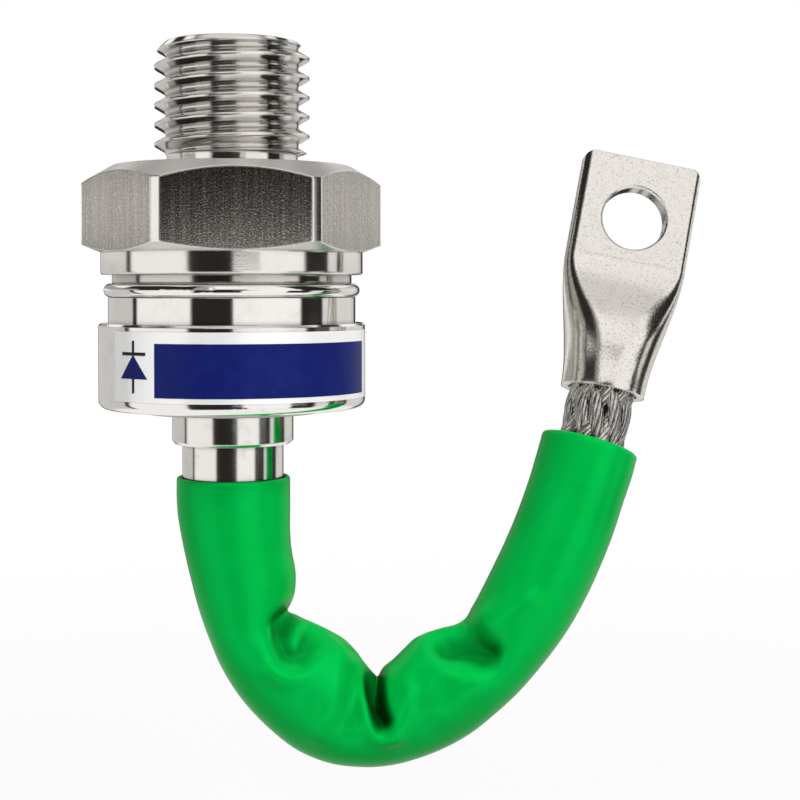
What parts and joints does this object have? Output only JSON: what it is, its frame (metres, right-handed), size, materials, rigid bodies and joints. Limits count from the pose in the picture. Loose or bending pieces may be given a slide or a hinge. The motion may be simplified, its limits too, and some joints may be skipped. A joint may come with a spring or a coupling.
{
  "type": "stud diode",
  "caption": "Power rectifier diode with a threaded stud, hexagonal base, welded steel housing and a sleeved flexible lead that ends in a cable lug.",
  "frame": {"origin": "centre of the hexagon's seating face, on the stud's axis", "axes": "+Z along the stud towards its tip, +X towards the cable lug, -Y towards the front of the label"},
  "size_m": [0.0814, 0.0362, 0.0934],
  "materials": {
    "nickel_plate": "nickel-plated, polished",
    "nickel_plate_satin": "nickel-plated, turned",
    "label_foil": "printed foil, white with a dark blue field",
    "alumina": "white ceramic",
    "copper": "bare copper, turned",
    "white_plastic": "white insulating plastic",
    "silver": "silver foil",
    "molybdenum": "lapped molybdenum",
    "silicon": "polished silicon",
    "mica": "mica sheet",
    "spring_steel": "hardened steel",
    "tinned_strands": "tinned copper wires, plaited",
    "green_sleeve": "green plastic sleeve, semi-gloss",
    "tinned_copper": "tinned copper, satin"
  },
  "bodies": {
    "root": {"stud_base": "nickel_plate", "weld_ring": "nickel_plate", "housing_shell": "nickel_plate", "cap": "nickel_plate", "label": "label_foil", "insulator": "alumina", "terminal_tube": "nickel_plate_satin", "contact_post": "copper", "insulating_tube": "white_plastic", "lower_foil": "silver", "upper_foil": "silver", "lower_molybdenum_disc": "molybdenum", "upper_molybdenum_disc": "molybdenum", "silicon_wafer": "silicon", "centring_ring": "white_plastic", "mica_washer": "mica", "thrust_washer": "spring_steel", "stop_ring": "spring_steel", "disc_spring_1": "spring_steel", "disc_spring_2": "spring_steel", "disc_spring_3": "spring_steel", "lead": "tinned_strands", "sleeve": "green_sleeve", "cable_lug": "tinned_copper"}
  },
  "joints": []
}
